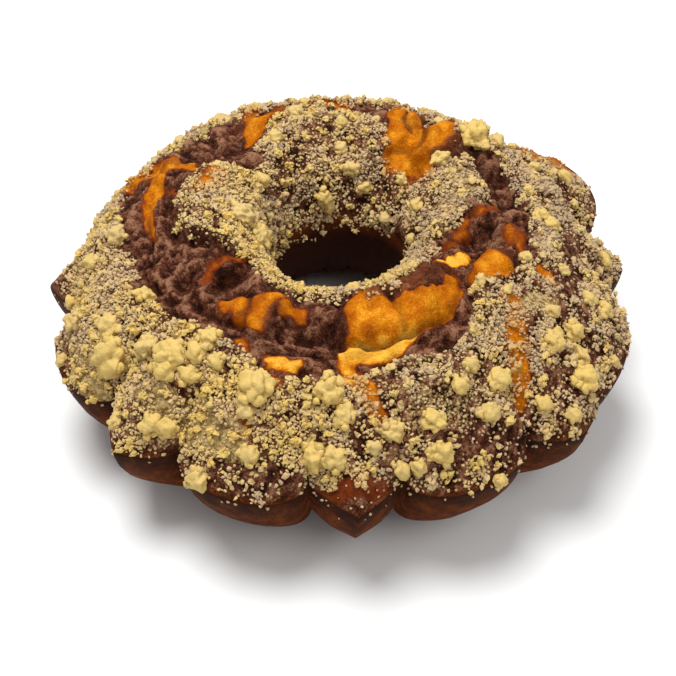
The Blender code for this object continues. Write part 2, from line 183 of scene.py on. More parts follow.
# Marbling: strength, then the angle, radius and half width of each corner of a stroke of light batter
marbling = {
    "front block": (1.0, (278, 62, 10), (283, 65, 9), (293, 65, 8.5), (300, 66, 6.5), (308, 65, 5)),
    "front block's left end": (1.0, (271, 54, 2.2), (271, 63, 2.6), (271.5, 70, 2.4)),
    "front block's right end": (0.8, (311, 62, 3.5), (317, 58, 2.5), (318, 54, 1.5)),
    "front ledge": (1.0, (271, 76.5, 4.5), (278, 76.5, 4.5), (284, 76, 3.8), (290, 72.5, 2.2)),
    "between block and ledge": (1.0, (270.5, 73, 3), (280, 73, 3), (288, 72, 2.5)),
    "front ledge's left end": (1.0, (268.5, 77, 2.5), (268.5, 84, 3), (269.5, 90, 2.5)),
    "under the front crumbs": (0.75, (271, 88, 4), (273, 93, 4), (275, 100, 3)),
    "front lump": (1.0, (241, 74, 2.2), (239, 69, 3.6), (239, 63, 4), (241, 58, 3)),
    "front lump, right": (0.9, (246.5, 60.5, 2.8), (251.5, 60, 2.8)),
    "front spots": (0.85, (238, 81, 1.8), (241, 83.5, 1.6)),
    "lower front spots": (1.0, (248, 84.5, 2.4), (252, 85, 2.6), (255.5, 84.5, 2)),
    "below the spots": (0.7, (249, 91, 1.5), (252, 91.5, 1.5)),
    "left patch": (
        1.0, (156, 106, 3.5), (155.5, 98, 5), (155, 90, 6), (154.5, 82, 4.5), (155, 74, 3), (157, 66, 1.5),
    ),
    "left spur": (
        1.0, (160, 85, 4.5), (166, 85.5, 4.5), (172, 85, 4.2), (178, 83.5, 3.4), (184, 81.5, 2),
        (188, 80, 0.8),
    ),
    "left streak": (0.5, (166, 79, 1.2), (170, 72, 1.6), (174, 66, 1.0)),
    "left ridge": (0.5, (214, 69, 1.4), (212, 62, 2.0), (211, 56, 1.8), (213, 49, 1.6)),
    "left block": (0.8, (228, 71, 3.2), (232, 69, 4), (235, 73, 2.5)),
    "under the left hump": (0.7, (163, 55, 4), (168, 57, 4.5), (172, 59, 3)),
    "back left": (1.0, (117, 82, 3.5), (119, 76, 5.5), (121, 70, 6), (124, 64, 3.5)),
    "back crest": (0.75, (119, 77, 3.5), (108, 80, 3.8), (97, 81, 3.4), (86, 81, 2.6)),
    "back right lump": (1.0, (68, 80, 5), (64, 72, 8), (60, 64, 8), (58, 55, 7), (56, 47, 5)),
    "back right block": (1.0, (50, 76, 5), (47, 70, 6.5), (46, 62, 6.5), (48, 55, 4.5)),
    "back right, low": (0.95, (57, 46, 4), (50, 49, 5), (42, 50, 5), (36, 50, 3)),
    "back right, lowest": (0.5, (46, 42, 2.5), (40, 42, 3), (36, 44, 3)),
    "right block": (1.0, (322, 68, 4.5), (329, 69, 7.5), (335, 68, 5)),
    "right strip": (1.0, (321, 50, 1.5), (325, 53, 3.5), (329, 56, 3)),
    "right ridge": (0.55, (325, 41, 1.6), (333, 44, 2.4), (338, 49, 1.8)),
    "right ridge, back": (0.55, (343, 49, 2.5), (350, 51, 3), (357, 52, 2.5)),
    "right ridge's end": (0.5, (0, 56, 1.5), (2, 62, 2), (3, 68, 1.5)),
    "right lump": (0.55, (349, 70, 2.5), (345, 74, 3.5), (342, 77, 2)),
    "right shoulder": (0.7, (321, 83, 3.5), (319, 87, 4), (316, 91, 4)),
    "right shoulder, low": (0.8, (315, 89, 3.5), (312, 96, 5), (309, 101, 5), (307, 107, 4)),
    "right spot": (0.95, (336, 86, 2), (335, 90, 3.2), (333, 93, 2)),
    "disc": (0.6, (27, 92, 4), (27, 102, 8), (25, 112, 10), (22, 120, 7)),
    "front tip": (0.3, (263, 119, 3), (270, 119, 4), (275, 118, 3)),
    "left groove": (0.5, (246, 104, 3.5), (248, 109, 3)),
    "back lobes": (0.5, (60, 108, 6), (72, 114, 8), (90, 112, 6)),
    "back left lobes": (0.5, (125, 108, 6), (140, 112, 7)),
}

# Painted highlight: where the light batter is painted palest, standing in for light on the front ledge, the
# spots and the right strip
batterHighlights = {
    "front ledge": (1.0, (269, 77, 3.5), (278, 76.5, 4), (284, 76, 3.4), (290, 73, 2)),
    "front ledge's left end": (0.7, (268.5, 80, 2.5), (269, 88, 2.5)),
    "front spots": (0.8, (248, 84.5, 2.4), (255, 84.5, 2.4)),
    "right strip": (1.0, (321, 50, 1.5), (325, 53, 3.5), (329, 56, 3)),
}

# Browned batter: strength, then corners as above
toasting = {
    "cap": (1.0, (298, 51, 5), (307, 51, 6.5), (315, 53, 5)),
    "block's top": (0.7, (279, 53, 2.2), (286, 55, 2.6), (294, 54, 2)),
    "block's right edge": (0.6, (313, 65, 1.5), (318, 60, 1.5)),
    "right block's end": (0.8, (337, 66, 2), (337, 72, 2.5), (331, 77, 1.5)),
    "lump's curl": (0.8, (243, 72, 2.0), (242, 66, 1.6), (244, 61, 1.2)),
    "lump's rim": (0.6, (234, 66, 1.2), (238, 58, 1.2), (242, 54, 1.2)),
    "left block": (0.6, (226, 74, 1.4), (233, 75, 1.6), (236, 70, 1.2)),
    "back right top": (1.0, (66, 82, 4), (58, 80, 4), (50, 80, 4), (44, 78, 3)),
    "back right seam": (0.7, (66, 80, 1.2), (62, 75, 1.4), (63, 69, 1.1), (57, 63, 0.9)),
    "back right edge": (0.8, (41, 74, 2.5), (39, 64, 2.5), (41, 56, 2)),
    "back left top": (0.5, (118, 77, 2), (126, 77, 2)),
    "left patch": (0.5, (160, 96, 2), (153, 85, 2), (152, 76, 2)),
    "left spur": (0.6, (176, 85, 1.6), (186, 84.5, 1.6)),
    "crest": (0.6, (112, 82, 2), (95, 84, 2)),
    "low lump": (0.6, (44, 41, 2.2), (36, 43, 2.5)),
}

# Where the finest crumbs lie as a khaki coat
coatings = {
    "left lobe": (1.0, (200, 117, 5), (206, 119, 6.5), (212, 119, 6)),
    "left lobe, low": (1.0, (220, 109, 4), (225, 110, 5), (230, 110, 5)),
    "front left flat": (1.0, (236, 109, 6), (242, 110, 7), (247, 111, 5)),
    "front slope": (0.45, (284, 101, 7), (292, 101, 8), (298, 96, 5)),
    "right shoulder": (0.8, (322, 88, 4), (325, 91, 5), (328, 94, 4)),
    "right inner slope": (0.65, (28, 57, 6), (16, 53, 9), (5, 45, 6)),
    "left hump": (0.6, (160, 50, 5), (176, 48, 7), (190, 42, 5)),
    "left edge": (0.7, (172, 110, 6), (182, 110, 6), (192, 112, 5)),
    "back left slab": (0.9, (122, 88, 5), (132, 88, 6), (141, 90, 5)),
    "back lobes": (0.6, (60, 96, 7), (95, 96, 8), (118, 100, 7)),
    "disc": (0.45, (27, 98, 5), (26, 110, 7)),
}

# Where few crumbs stuck
sparse = {
    "front left lobe": (0.9, (244, 119, 3), (250, 117, 5), (258, 118, 5)),
    "front right lobe": (0.88, (290, 114, 4), (297, 115, 6), (305, 115, 6)),
    "front tip": (0.95, (262, 119, 3), (270, 122, 5), (278, 119, 3)),
    "front groove": (0.6, (282, 108, 2.5), (280, 116, 3)),
    "left dark spot": (0.95, (224, 101, 1.5), (229, 104, 2.5), (233, 105, 3)),
    "right spot": (0.9, (336, 86, 2.5), (335, 90, 3.5)),
    "right dark strip": (
        0.93, (14, 91, 2.5), (8, 94, 2.5), (2, 97, 3.5), (355, 99, 4), (348, 95, 3), (341, 98, 3),
        (333, 98, 4), (327, 98, 3),
    ),
    "right shoulder, low": (0.9, (315, 89, 3), (311, 98, 4.5), (308, 106, 4.5)),
    "disc": (0.97, (30, 97, 5), (29, 106, 9), (27, 116, 10), (24, 122, 8)),
    "left tip": (0.85, (178, 122, 5), (184, 122, 5)),
    "groove under the hump": (0.6, (150, 44, 3), (138, 40, 4)),
    "right lobe": (0.5, (318, 118, 4), (322, 112, 3)),
    "front low": (0.3, (268, 104, 8), (285, 106, 9), (300, 104, 7)),
    "right low": (0.35, (312, 112, 7), (325, 114, 8), (338, 112, 7)),
}

# Where the crumbs lie close together
dense = {
    "left side": (0.9, (165, 112, 9), (190, 108, 12), (212, 106, 12), (232, 100, 10), (248, 97, 8)),
    "left of the hole": (1.0, (150, 50, 8), (175, 46, 12), (200, 42, 9), (222, 38, 6)),
    "hole's front lip": (1.0, (236, 40, 6), (265, 42, 6), (300, 42, 6), (330, 38, 5)),
    "right of the hole": (0.9, (352, 40, 5), (10, 45, 8), (30, 52, 8)),
    "front": (0.6, (258, 105, 8), (268, 110, 8)),
    "right pile": (0.9, (20, 84, 6), (33, 78, 8), (45, 86, 6)),
    "right crest": (0.7, (345, 84, 6), (2, 86, 6), (18, 84, 5)),
    "back": (0.5, (85, 90, 10), (110, 94, 10), (140, 94, 8)),
}


def smooth(low, high, value):
    part = np.clip((value - low) / (high - low), 0.0, 1.0)
    return part * part * (3 - 2 * part)


def turnBetween(angle, other):
    return (angle - other + 180) % 360 - 180


def noiseAt(points, spacing, seed=0.0):
    # Perlin noise, one value a point, with bumps about this many millimetres apart
    move = Vector((seed * 7.3, seed * 3.1, seed * 5.7))
    return np.array([noise.noise(Vector(p) / spacing + move) for p in points])


def cellsAt(points, spacing, seed=0.0):
    # distance to the nearest cell middle, and how much further the next one is
    move = Vector((seed * 7.3, seed * 3.1, seed * 5.7))
    near = np.empty(len(points))
    gap = np.empty(len(points))
    for i, p in enumerate(points):
        distances = noise.voronoi(Vector(p) / spacing + move)[0]
        near[i] = distances[0]
        gap[i] = distances[1] - distances[0]
    return near, gap


def nearStroke(angle, radius, corners):
    # how far outside a bent stroke each place is; a corner is an angle, a radius and a half width
    x, y = radius * np.cos(np.radians(angle)), radius * np.sin(np.radians(angle))
    outside = np.full(len(x), 1e9)
    for (a, r, wide), (b, s, wideAfter) in zip(corners, corners[1:]):
        fromX, fromY = r * math.cos(math.radians(a)), r * math.sin(math.radians(a))
        goX, goY = s * math.cos(math.radians(b)) - fromX, s * math.sin(math.radians(b)) - fromY
        part = np.clip(((x - fromX) * goX + (y - fromY) * goY) / (goX ** 2 + goY ** 2), 0, 1)
        away = np.hypot(x - fromX - part * goX, y - fromY - part * goY)
        outside = np.minimum(outside, away - wide - (wideAfter - wide) * part)
    return outside


def strokes(patches, angle, radius, soft=1.6, inset=0.0):
    # highest strength of a set of strokes at each place, with soft borders, moved inwards by the inset
    found = np.zeros(len(angle))
    for strength, *corners in patches.values():
        outside = nearStroke(angle, radius, corners) + inset
        found = np.maximum(found, strength * (1 - smooth(-soft, soft, outside)))
    return found


def dome(place, shoulder):
    # height over the rim, 0 to 1, between the hole (place 0) and the rim (place 1)
    crest = cake["crestPlace"]
    curve, squareCurve = cake["innerCurve"]
    outer = 1 - (np.clip(place - crest, 0, 1) / (1 - crest)) ** cake["outerCurve"]
    squareness = np.clip((shoulder - cake["softShoulder"]) / cake["shoulderSpan"], 0, 1)
    inner = np.clip(1 - (np.clip(crest - place, 0, 1) / crest) ** shoulder, 0, 1)
    return np.where(place > crest, outer, inner ** (curve - squareCurve * squareness))


def turnedProfile():
    # outline of an even ring, from the foot up the wall, over the crest and down the hole
    outerFoot = cake["footRadius"] + cake["footWidth"] / 2
    innerFoot = cake["footRadius"] - cake["footWidth"] / 2
    rim, tip, hole = cake["rimHeight"], cake["tipReach"], cake["holeRadius"]
    bulge, roundness, slant = cake["wallShape"]
    crestPlace, slopePoints = cake["crestPlace"], cake["slopePoints"]
    points = [(innerFoot, 0.0), (outerFoot, 0.0)]
    for i in range(1, cake["wallPoints"] + 1):
        rise = 1 - math.cos(math.pi / 2 * i / cake["wallPoints"])
        swell = bulge * math.sqrt(1 - (1 - rise) ** roundness) + slant * rise
        points.append((outerFoot + (tip - outerFoot) * swell, rim * rise))
    places = [1 - (1 - crestPlace) * i / slopePoints for i in range(1, slopePoints + 1)]
    for i in range(1, cake["innerPoints"] + 1):
        places.append(crestPlace * (1 - math.sin(math.pi / 2 * i / cake["innerPoints"])))
    for place in places:
        height = (cake["crestHeight"] - rim) * float(dome(np.float64(place), cake["softShoulder"]))
        points.append((hole + (tip - hole) * place, rim + height))
    for i in range(1, cake["borePoints"]):
        drop = math.sin(math.pi / 2 * i / cake["borePoints"])
        flare = 1 - (1 - drop ** 2) ** cake["boreShape"]
        points.append((hole + (innerFoot - hole) * flare, rim * (1 - drop)))
    return points


def warpedAngle(angle):
    # even steps moved so that edges run along every tip and groove
    pair, half = cake["pairTurn"], cake["pointedHalf"]
    steps = 2 * (cake["pointedSteps"] + cake["roundSteps"])
    turn = np.floor(angle / pair + 0.5)
    step = (angle / pair - turn) * steps
    size = np.abs(step)
    pointed = size / cake["pointedSteps"] * half
    rest = (size - cake["pointedSteps"]) / cake["roundSteps"]
    rounded = half + rest * (pair / 2 - half)
    return turn * pair + np.copysign(np.where(size <= cake["pointedSteps"], pointed, rounded), step)


def lobeAt(angle):
    # which lobe each place is on, and how far out it is from its grooves (0) to its tip (1)
    pair, half = cake["pairTurn"], cake["pointedHalf"]
    turn = np.floor(angle / pair + 0.5)
    offset = angle - turn * pair
    size = np.abs(offset)
    inPointed = size <= half
    lobe = np.where(inPointed, 2 * turn, 2 * turn + np.copysign(1, offset)).astype(int)
    lobe = lobe % len(cake["lobeReach"])
    sharpness = np.array(cake["lobePoint"])[turn.astype(int) % len(cake["lobePoint"])]
    pointed = np.clip(1 - size / half, 0, 1) ** sharpness
    side = np.clip((pair / 2 - size) / (pair / 2 - half), 0, 1)
    rounded = np.sqrt(np.clip(1 - side ** cake["roundness"], 0, 1))
    return lobe, np.where(inPointed, pointed, rounded)


def blended(values, places, angle, width):
    # one value out of many round the ring, blended over a width in degrees
    weights = np.exp(-((turnBetween(angle[:, None], np.array(places)[None]) / width) ** 2))
    return weights @ np.array(values, float) / weights.sum(1)


def lobeSize(size, angle):
    # one of the sizes that each lobe has, named as in the cake's dictionary
    values = cake["lobe" + size]
    places = [i * cake["pairTurn"] / 2 for i in range(len(values))]
    return blended(values, places, angle, cake["blend"][size.lower()])


def grooveAt(angle):
    pair, half = cake["pairTurn"], cake["pointedHalf"]
    places = []
    for i in range(len(cake["lobePoint"])):
        places += [i * pair + half, (i + 1) * pair - half]
    return blended(cake["grooveReach"], places, angle, cake["blend"]["groove"])


def splitMask(angle, radius):
    # 1 where the crumb is bare between the split's edges, 0 outside them
    edges = np.array(split["edges"], float)
    place = (angle % 360) / split["step"]
    first = place.astype(int) % len(edges)
    part = (place - np.floor(place))[:, None]
    inner, outer = (edges[first] * (1 - part) + edges[(first + 1) % len(edges)] * part).T
    softInner, softOuter = split["softEdges"]
    beyondInner = smooth(inner - softInner, inner + softInner, radius)
    return beyondInner * (1 - smooth(outer - softOuter, outer + softOuter, radius))


def evenShape(points):
    # the spun ring moved to the fluted form, with no relief; points in millimetres round the hole
    angle = warpedAngle(np.degrees(np.arctan2(points[:, 1], points[:, 0])))
    radius = np.hypot(points[:, 0], points[:, 1])
    height = points[:, 2].copy()
    rimNow, tip, hole = cake["rimHeight"], cake["tipReach"], cake["holeRadius"]
    lobe, fullness = lobeAt(angle)
    reach = np.array(cake["lobeReach"], float)[lobe]
    groove = grooveAt(angle)
    rimReach = groove + (reach - groove) * fullness
    rim = lobeSize("Rim", angle)
    crest = lobeSize("Crest", angle)
    outerFoot = cake["footRadius"] + cake["footWidth"] / 2
    risen = height > rimNow + 0.01
    place = (radius - hole) / (tip - hole)
    fluting = np.clip(2 * place - 1, 0, 1) ** cake["flutingCurve"]
    even = groove + cake["evenShare"] * (lobeSize("Reach", angle) - groove)
    topRadius = hole + (even + (rimReach - even) * fluting - hole) * place
    shoulder = lobeSize("Shoulder", angle)
    topHeight = rim + (crest - rim) * dome(place, shoulder)
    wallRadius = outerFoot + (rimReach - outerFoot) * (radius - outerFoot) / (tip - outerFoot)
    wallRadius = np.where(radius > outerFoot, wallRadius, radius)
    low = np.clip(1 - height / rimNow, 0, 1)
    lift = cake["footLift"] * (1 - smooth(0.0, 0.6, fullness)) * low ** 1.5
    wallHeight = rim * height / rimNow + np.where(radius > hole + 1, lift, 0)
    radius = np.where(risen, topRadius, wallRadius)
    height = np.where(risen, topHeight, wallHeight)
    turned = np.radians(angle)
    shaped = np.stack([radius * np.cos(turned), radius * np.sin(turned), height], 1)
    return shaped, angle % 360, radius, risen, rim


print("cake: the spun ring")
bm = bmesh.new()
corners = [bm.verts.new((radius, 0.0, height)) for radius, height in turnedProfile()]
rings = [bm.edges.new((a, b)) for a, b in zip(corners, corners[1:] + corners[:1])]
bmesh.ops.spin(
    bm, geom=corners + rings, cent=(0, 0, 0), axis=(0, 0, 1), angle=math.tau,
    steps=len(cake["lobeReach"]) * (cake["pointedSteps"] + cake["roundSteps"]), use_merge=True,
)
cakeMesh = bpy.data.meshes.new("cakeBody")
bm.to_mesh(cakeMesh)
bm.free()
cakeBody = bpy.data.objects.new("cakeBody", cakeMesh)
bpy.context.scene.collection.objects.link(cakeBody)


def pointsOf(mesh, what):
    found = np.empty(len(mesh.vertices) * 3)
    mesh.vertices.foreach_get(what, found)
    return found.reshape(-1, 3)


def facesInOrder(bm):
    # spin leaves its faces in another order each run, and the random draws need one that stays
    faces = np.array([[vertex.index for vertex in face.verts] for face in bm.faces])
    sides = faces.shape[1]
    faces = np.take_along_axis(faces, (faces.argmin(1)[:, None] + np.arange(sides)) % sides, 1)
    return faces[np.lexsort(faces.T)]


shaped, angle, radius, risen, rim = evenShape(pointsOf(cakeMesh, "co"))
cakeMesh.vertices.foreach_set("co", shaped.ravel())
bm = bmesh.new()
bm.from_mesh(cakeMesh)
bmesh.ops.recalc_face_normals(bm, faces=bm.faces)
quads = facesInOrder(bm)
bm.free()
cakeMesh.clear_geometry()
cakeMesh.from_pydata(shaped.tolist(), [], quads.tolist())
normals = pointsOf(cakeMesh, "normal")

print("cake: split, marbling and relief")
flat = shaped * (1, 1, 0)
middling = noiseAt(shaped, surface["middlingSpacing"], 2)
fine = noiseAt(shaped, surface["fineSpacing"], 5)
stray, fineStray = surface["stray"]
sideways = stray * noiseAt(shaped, surface["middlingSpacing"], 4)
sideways = sideways + fineStray * noiseAt(shaped, surface["fineSpacing"], 3)
# borders of patches are looked up where each place strays to, so that they come out ragged
warpAngle = angle + np.degrees(sideways / np.maximum(radius, 20))
warpRadius = radius + (stray * middling + fineStray * fine)
bare = splitMask(warpAngle, warpRadius) * risen
light = strokes(marbling, warpAngle, warpRadius)
core = strokes(marbling, warpAngle, warpRadius, 3.0, 2.5)
# painted highlight where the batter is painted palest
pale = strokes(batterHighlights, warpAngle, warpRadius)
toast = strokes(toasting, warpAngle, warpRadius)
coat = strokes(coatings, warpAngle, warpRadius, 3.0) * risen * (1 - bare)
thin = strokes(sparse, warpAngle, warpRadius, 2.0)
thick = strokes(dense, warpAngle, warpRadius, 4.0)
above = shaped[:, 2] - rim


def partlyStrayed(share):
    # places between where they are (0) and where they stray to (1)
    return warpAngle * share + angle * (1 - share), warpRadius * share + radius * (1 - share)


rise = np.zeros(len(shaped))
riseAngle, riseRadius = partlyStrayed(0.5)
for atAngle, atRadius, halfLength, halfWidth, lift in split["rises"].values():
    along = np.radians(turnBetween(riseAngle, atAngle)) * atRadius / halfLength
    across = (riseRadius - atRadius) / halfWidth
    rise += lift / (1 + (along ** 2 + across ** 2) ** 4)
crease = np.zeros(len(shaped))
creaseAngle, creaseRadius = partlyStrayed(0.4)
for depth, halfWidth, *corners in split["creases"].values():
    away = nearStroke(creaseAngle, creaseRadius, [(*corner, 0.0) for corner in corners])
    crease = np.maximum(crease, depth * np.exp(-(np.maximum(away, 0) / halfWidth) ** 2))
crease *= risen * smooth(0, 6, above) * (0.75 + 0.5 * middling)
near, gap = cellsAt(shaped, surface["cellSpacing"], 1)
cracked = smooth(-0.15, 0.25, noiseAt(shaped, surface["crackedSpacing"], 9))
cracks = (1 - smooth(0.0, surface["crackWidth"], gap)) * cracked
pores = noiseAt(shaped, surface["poreSpacing"], 6)
crags = noiseAt(flat, split["cragSpacing"], 0)
dark = 1 - smooth(0.3, 0.6, light)


def crumbRelief(wide, small, tiny, deep):
    return wide * middling + small * fine + tiny * pores - deep * cracks


inSplit = -split["depth"] + split["crags"] * crags + split["cellSwell"] * (0.5 - near)
inSplit += dark * crumbRelief(*surface["darkCrumb"])
inSplit += (1 - dark) * crumbRelief(*surface["lightCrumb"])
wide, small, thickness = surface["slope"]
onSlope = split["bumps"] * noiseAt(flat, split["bumpSpacing"], 0)
onSlope = onSlope + wide * middling + small * fine + thickness
relief = (bare * inSplit + (1 - bare) * onSlope) * smooth(0, 9, above + 4) * risen
relief += (rise * smooth(0, 12, above) - crease) * risen
widest, wide, small = surface["crust"]
onCrust = widest * noiseAt(shaped, surface["crustSpacing"], 7) + wide * middling + small * fine
relief += (1 - risen) * onCrust * smooth(0.2, 6, shaped[:, 2])
shaped = shaped + normals * relief[:, None]
shaped[:, :2] += cake["holeMiddle"]
shaped = np.clip(shaped, boxLow, boxHigh)
cakeMesh.vertices.foreach_set("co", (shaped * mm).ravel())
cakeMesh.shade_smooth()
cakeMesh.update()
normals = pointsOf(cakeMesh, "normal")


def keepAttribute(mesh, name, values):
    layer = mesh.attributes.new(name, "FLOAT", "POINT")
    layer.data.foreach_set("value", np.asarray(values, np.float32))


# Crumbs lie on the risen side where it faces up, outside the split, and thin out at the rim
facingUp = smooth(0.05, 0.4, normals[:, 2])
raggedRadius = radius + 3.0 * noiseAt(shaped, 6, 12) + 1.5 * noiseAt(shaped, 2.5, 13)
crumbed = risen * (1 - splitMask(warpAngle, raggedRadius)) * (1 - thin) * smooth(-1, 7, above) * facingUp
wallShare = np.clip(shaped[:, 2] / np.maximum(rim, 1), 0, 1) * (1 - risen)
keepAttribute(cakeMesh, "light", light)
# pale: painted highlight from the palest strokes, plus the paler middles of the light batter strokes
keepAttribute(cakeMesh, "pale", pale + 0.4 * core - 0.28)
keepAttribute(cakeMesh, "toast", toast * risen)
keepAttribute(cakeMesh, "baked", 1 - risen * smooth(-2, 4, above))
keepAttribute(cakeMesh, "wallShare", wallShare + 0.15 * middling)
# inHole: how deep a place lies down the hole, which the material uses for painted shade
keepAttribute(cakeMesh, "inHole", smooth(64, 36, shaped[:, 2]) * smooth(60, 40, radius))
keepAttribute(cakeMesh, "dusted", np.clip(crumbed + coat, 0, 1))
keepAttribute(cakeMesh, "coat", coat)
# peak: painted highlight on raised crumb and painted shade in its pits and cracks, taken from the relief's
# own bumps
keepAttribute(cakeMesh, "peak", 0.5 + 0.5 * middling + 0.45 * fine + 0.35 * crags - 0.2 * cracks)
# hollow: painted shade in the creases, in the cracks of the dark crumb and in the low bumps of the split
keepAttribute(cakeMesh, "hollow", np.clip(crease / 4 + 0.25 * cracks * dark - 0.25 * middling, 0, 1) * bare)
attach(cakeBody, "root")
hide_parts("marble_cake")

# The topping: sizes in millimetres, and how many of each kind
crumbs = {
    "seed": 11,
    # angle, radius and size of the largest lumps
    "named": (
        (211, 110, 15), (206, 105, 11), (226, 98, 13), (226, 102, 11), (219, 100, 10), (248, 94, 13),
        (262, 108, 12), (268, 99, 9), (35, 74, 12), (38, 80, 10), (192, 36, 11), (186, 41, 10),
        (264, 92, 11), (320, 103, 10), (321, 118, 12), (278, 103, 9), (266, 111, 9), (232, 87, 9),
        (229, 117, 9), (198, 116, 9), (205, 89, 9), (286, 105, 9), (286, 113, 9), (36, 56, 9),
        (232, 114, 8), (241, 124, 9), (250, 117, 8), (231, 93, 8), (232, 99, 8), (278, 112, 8),
        (303, 100, 9), (324, 112, 9), (327, 106, 9), (339, 114, 8), (298, 108, 8), (182, 94, 8),
        (185, 106, 8), (105, 67, 8), (101, 33, 8), (356, 88, 8), (357, 115, 8), (18, 107, 8), (236, 91, 7),
        (42, 79, 8), (30, 82, 8), (31, 72, 7),
        (222, 123, 7), (247, 102, 7), (282, 114, 7), (310, 114, 7), (314, 123, 7), (294, 98, 7),
        (299, 93, 7), (120, 54, 7), (146, 41, 7), (186, 117, 7), (98, 32, 7), (80, 39, 7),
        (358, 84, 7), (338, 107, 7), (273, 108, 6), (158, 56, 6), (87, 57, 6), (87, 47, 6),
        (83, 39, 6), (70, 36, 6), (327, 97, 6), (7, 32, 6), (293, 44, 6), (126, 90, 9),
    ),
    "lumpSizes": (4.0, 6.5),
    "lumpTries": 3000,  # places drawn, of which those that lie free are taken
    "lumpCount": 60,
    "lumpCell": 8.0,  # width of the boxes in which neighbours are looked up
    "lumpSwell": 0.6,
    "lumpFlatness": 0.78,
    "lumpKnobs": 0.45,
    "knobSpacing": 2.4,
    "finestFrom": 8.5,  # a lump over this size has a finer middle
    "partCount": 0.75,  # smaller parts round a lump, for each millimetre of its size
    "partAway": (0.3, 0.55),  # shares of the lump's size
    "partWidth": (0.24, 0.42),
    "partRise": (0, 0.22),
    "leastPart": 2.0,
    "clusterSpacing": 20,  # between the areas with many clumps
    "clumpTries": 5000,
    "clumpCount": 420,
    "clumpGap": 5.0,
    "clumpWidth": (1.2, 3.0),  # half of it
    "clumpParts": (3, 9),
    "clumpPartSizes": (1.5, 2.8),
    "clumpMargin": 1.8,
    "fineCell": 4.5,
    "gapSpacing": (8, 3.5),  # between the bare gaps in the loose crumbs
    "yellowSide": 205,  # the angle where they are yellowest
    "yellowSpacing": 15,
    "shapes": 9,  # uneven shapes that the loose crumbs are copies of
    "stretch": (0.6, 1.35),
    # loose crumbs: shape, sizes, tries, count, closeness, and how far they stand out of the cake
    "toppingCrumbs": ("crumb", (1.6, 2.7), 9000, 2200, 0.36, 0.2),
    "toppingGrains": (1, (1.1, 1.9), 30000, 9900, 0.32, 0.2),
    "toppingFine": (1, (0.8, 1.4), 22000, 9900, 0.3, 0.15),
}
draw = np.random.default_rng(crumbs["seed"])

cakeMesh.calc_loop_triangles()
triangles = np.empty(len(cakeMesh.loop_triangles) * 3, int)
cakeMesh.loop_triangles.foreach_get("vertices", triangles)
triangles = triangles.reshape(-1, 3)
ends = shaped[triangles]
areas = np.linalg.norm(np.cross(ends[:, 1] - ends[:, 0], ends[:, 2] - ends[:, 0]), axis=1)


def sampleCake(count, density):
    # random places on the cake where density says, their normals, and the marbling under them
    chance = areas * density[triangles].mean(1)
    picked = draw.choice(len(triangles), count, p=chance / chance.sum())
    share = draw.random((count, 2))
    share = np.where(share.sum(1, keepdims=True) > 1, 1 - share, share)
    weights = np.column_stack([1 - share.sum(1), share])
    places = np.einsum("nij,ni->nj", ends[picked], weights)
    facing = np.einsum("nij,ni->nj", normals[triangles[picked]], weights)
    facing /= np.linalg.norm(facing, axis=1, keepdims=True)
    under = (light[triangles[picked]] * weights).sum(1)
    return places, facing, under


class Taken:
    # the places already filled, and how wide each one is
    def __init__(self, cell):
        self.cell = cell
        self.cells = {}

    def key(self, place):
        return tuple(int(math.floor(x / self.cell)) for x in place)

    def free(self, place, size, closeness):
        # whether nothing lies within this share of both widths
        a, b, c = self.key(place)
        for cell in itertools.product((a - 1, a, a + 1), (b - 1, b, b + 1), (c - 1, c, c + 1)):
            for x, y, z, other in self.cells.get(cell, ()):
                away = (place[0] - x) ** 2 + (place[1] - y) ** 2 + (place[2] - z) ** 2
                if away < (closeness * (size + other)) ** 2:
                    return False
        return True

    def add(self, place, size):
        self.cells.setdefault(self.key(place), []).append((*place, size))


def spread(places, sizes, limit, taken, closeness):
    # keeps each place that is clear of those before it and whose crumb stays in the solid's box
    margin = 0.7 * sizes[:, None]
    inBox = ((places > boxLow + margin) & (places < boxHigh - margin)).all(1)
    chosen = []
    for i, place in enumerate(places.tolist()):
        if len(chosen) == limit:
            break
        if inBox[i] and taken.free(place, sizes[i], closeness):
            taken.add(place, sizes[i])
            chosen.append(i)
    return np.array(chosen, int)


def turnsFor(facing):
    # a rotation for each: its Z along the normal, turned by chance round it
    spin = draw.uniform(0, math.tau, len(facing))
    helper = np.where(np.abs(facing[:, 2:3]) < 0.9, [[0.0, 0.0, 1.0]], [[1.0, 0.0, 0.0]])
    side = np.cross(helper, facing)
    side /= np.linalg.norm(side, axis=1, keepdims=True)
    other = np.cross(facing, side)
    first = side * np.cos(spin)[:, None] + other * np.sin(spin)[:, None]
    return np.stack([first, np.cross(facing, first), facing], 2)


def ball(kind):
    # a ball of radius 1, as its points and triangles
    bm = bmesh.new()
    if kind == "crumb":
        bmesh.ops.create_uvsphere(bm, u_segments=6, v_segments=5, radius=1)
    else:
        bmesh.ops.create_icosphere(bm, subdivisions=kind, radius=1)
    bmesh.ops.triangulate(bm, faces=bm.faces)
    points = np.array([vertex.co[:] for vertex in bm.verts])
    faces = facesInOrder(bm)
    bm.free()
    return points, faces


def uneven(points, size, seed, swell, knobs):
    # a ball this size with a lopsided outline and round knobs on it
    move = Vector((seed * 4.1, seed * 2.3, seed * 8.9))
    reaches = []
    for point in points:
        spot = Vector(point)
        lopsided = noise.noise(spot * 1.4 + move) + 0.4 * noise.noise(spot * 3.2 + move)
        reach = size / 2 * (1 + swell * lopsided)
        if knobs:
            near = noise.voronoi(spot * (size / 2 / crumbs["knobSpacing"]) + move)[0][0]
            reach += knobs * max(0.0, 1 - 1.7 * near * near)
        reaches.append(reach)
    return points * np.array(reaches)[:, None]


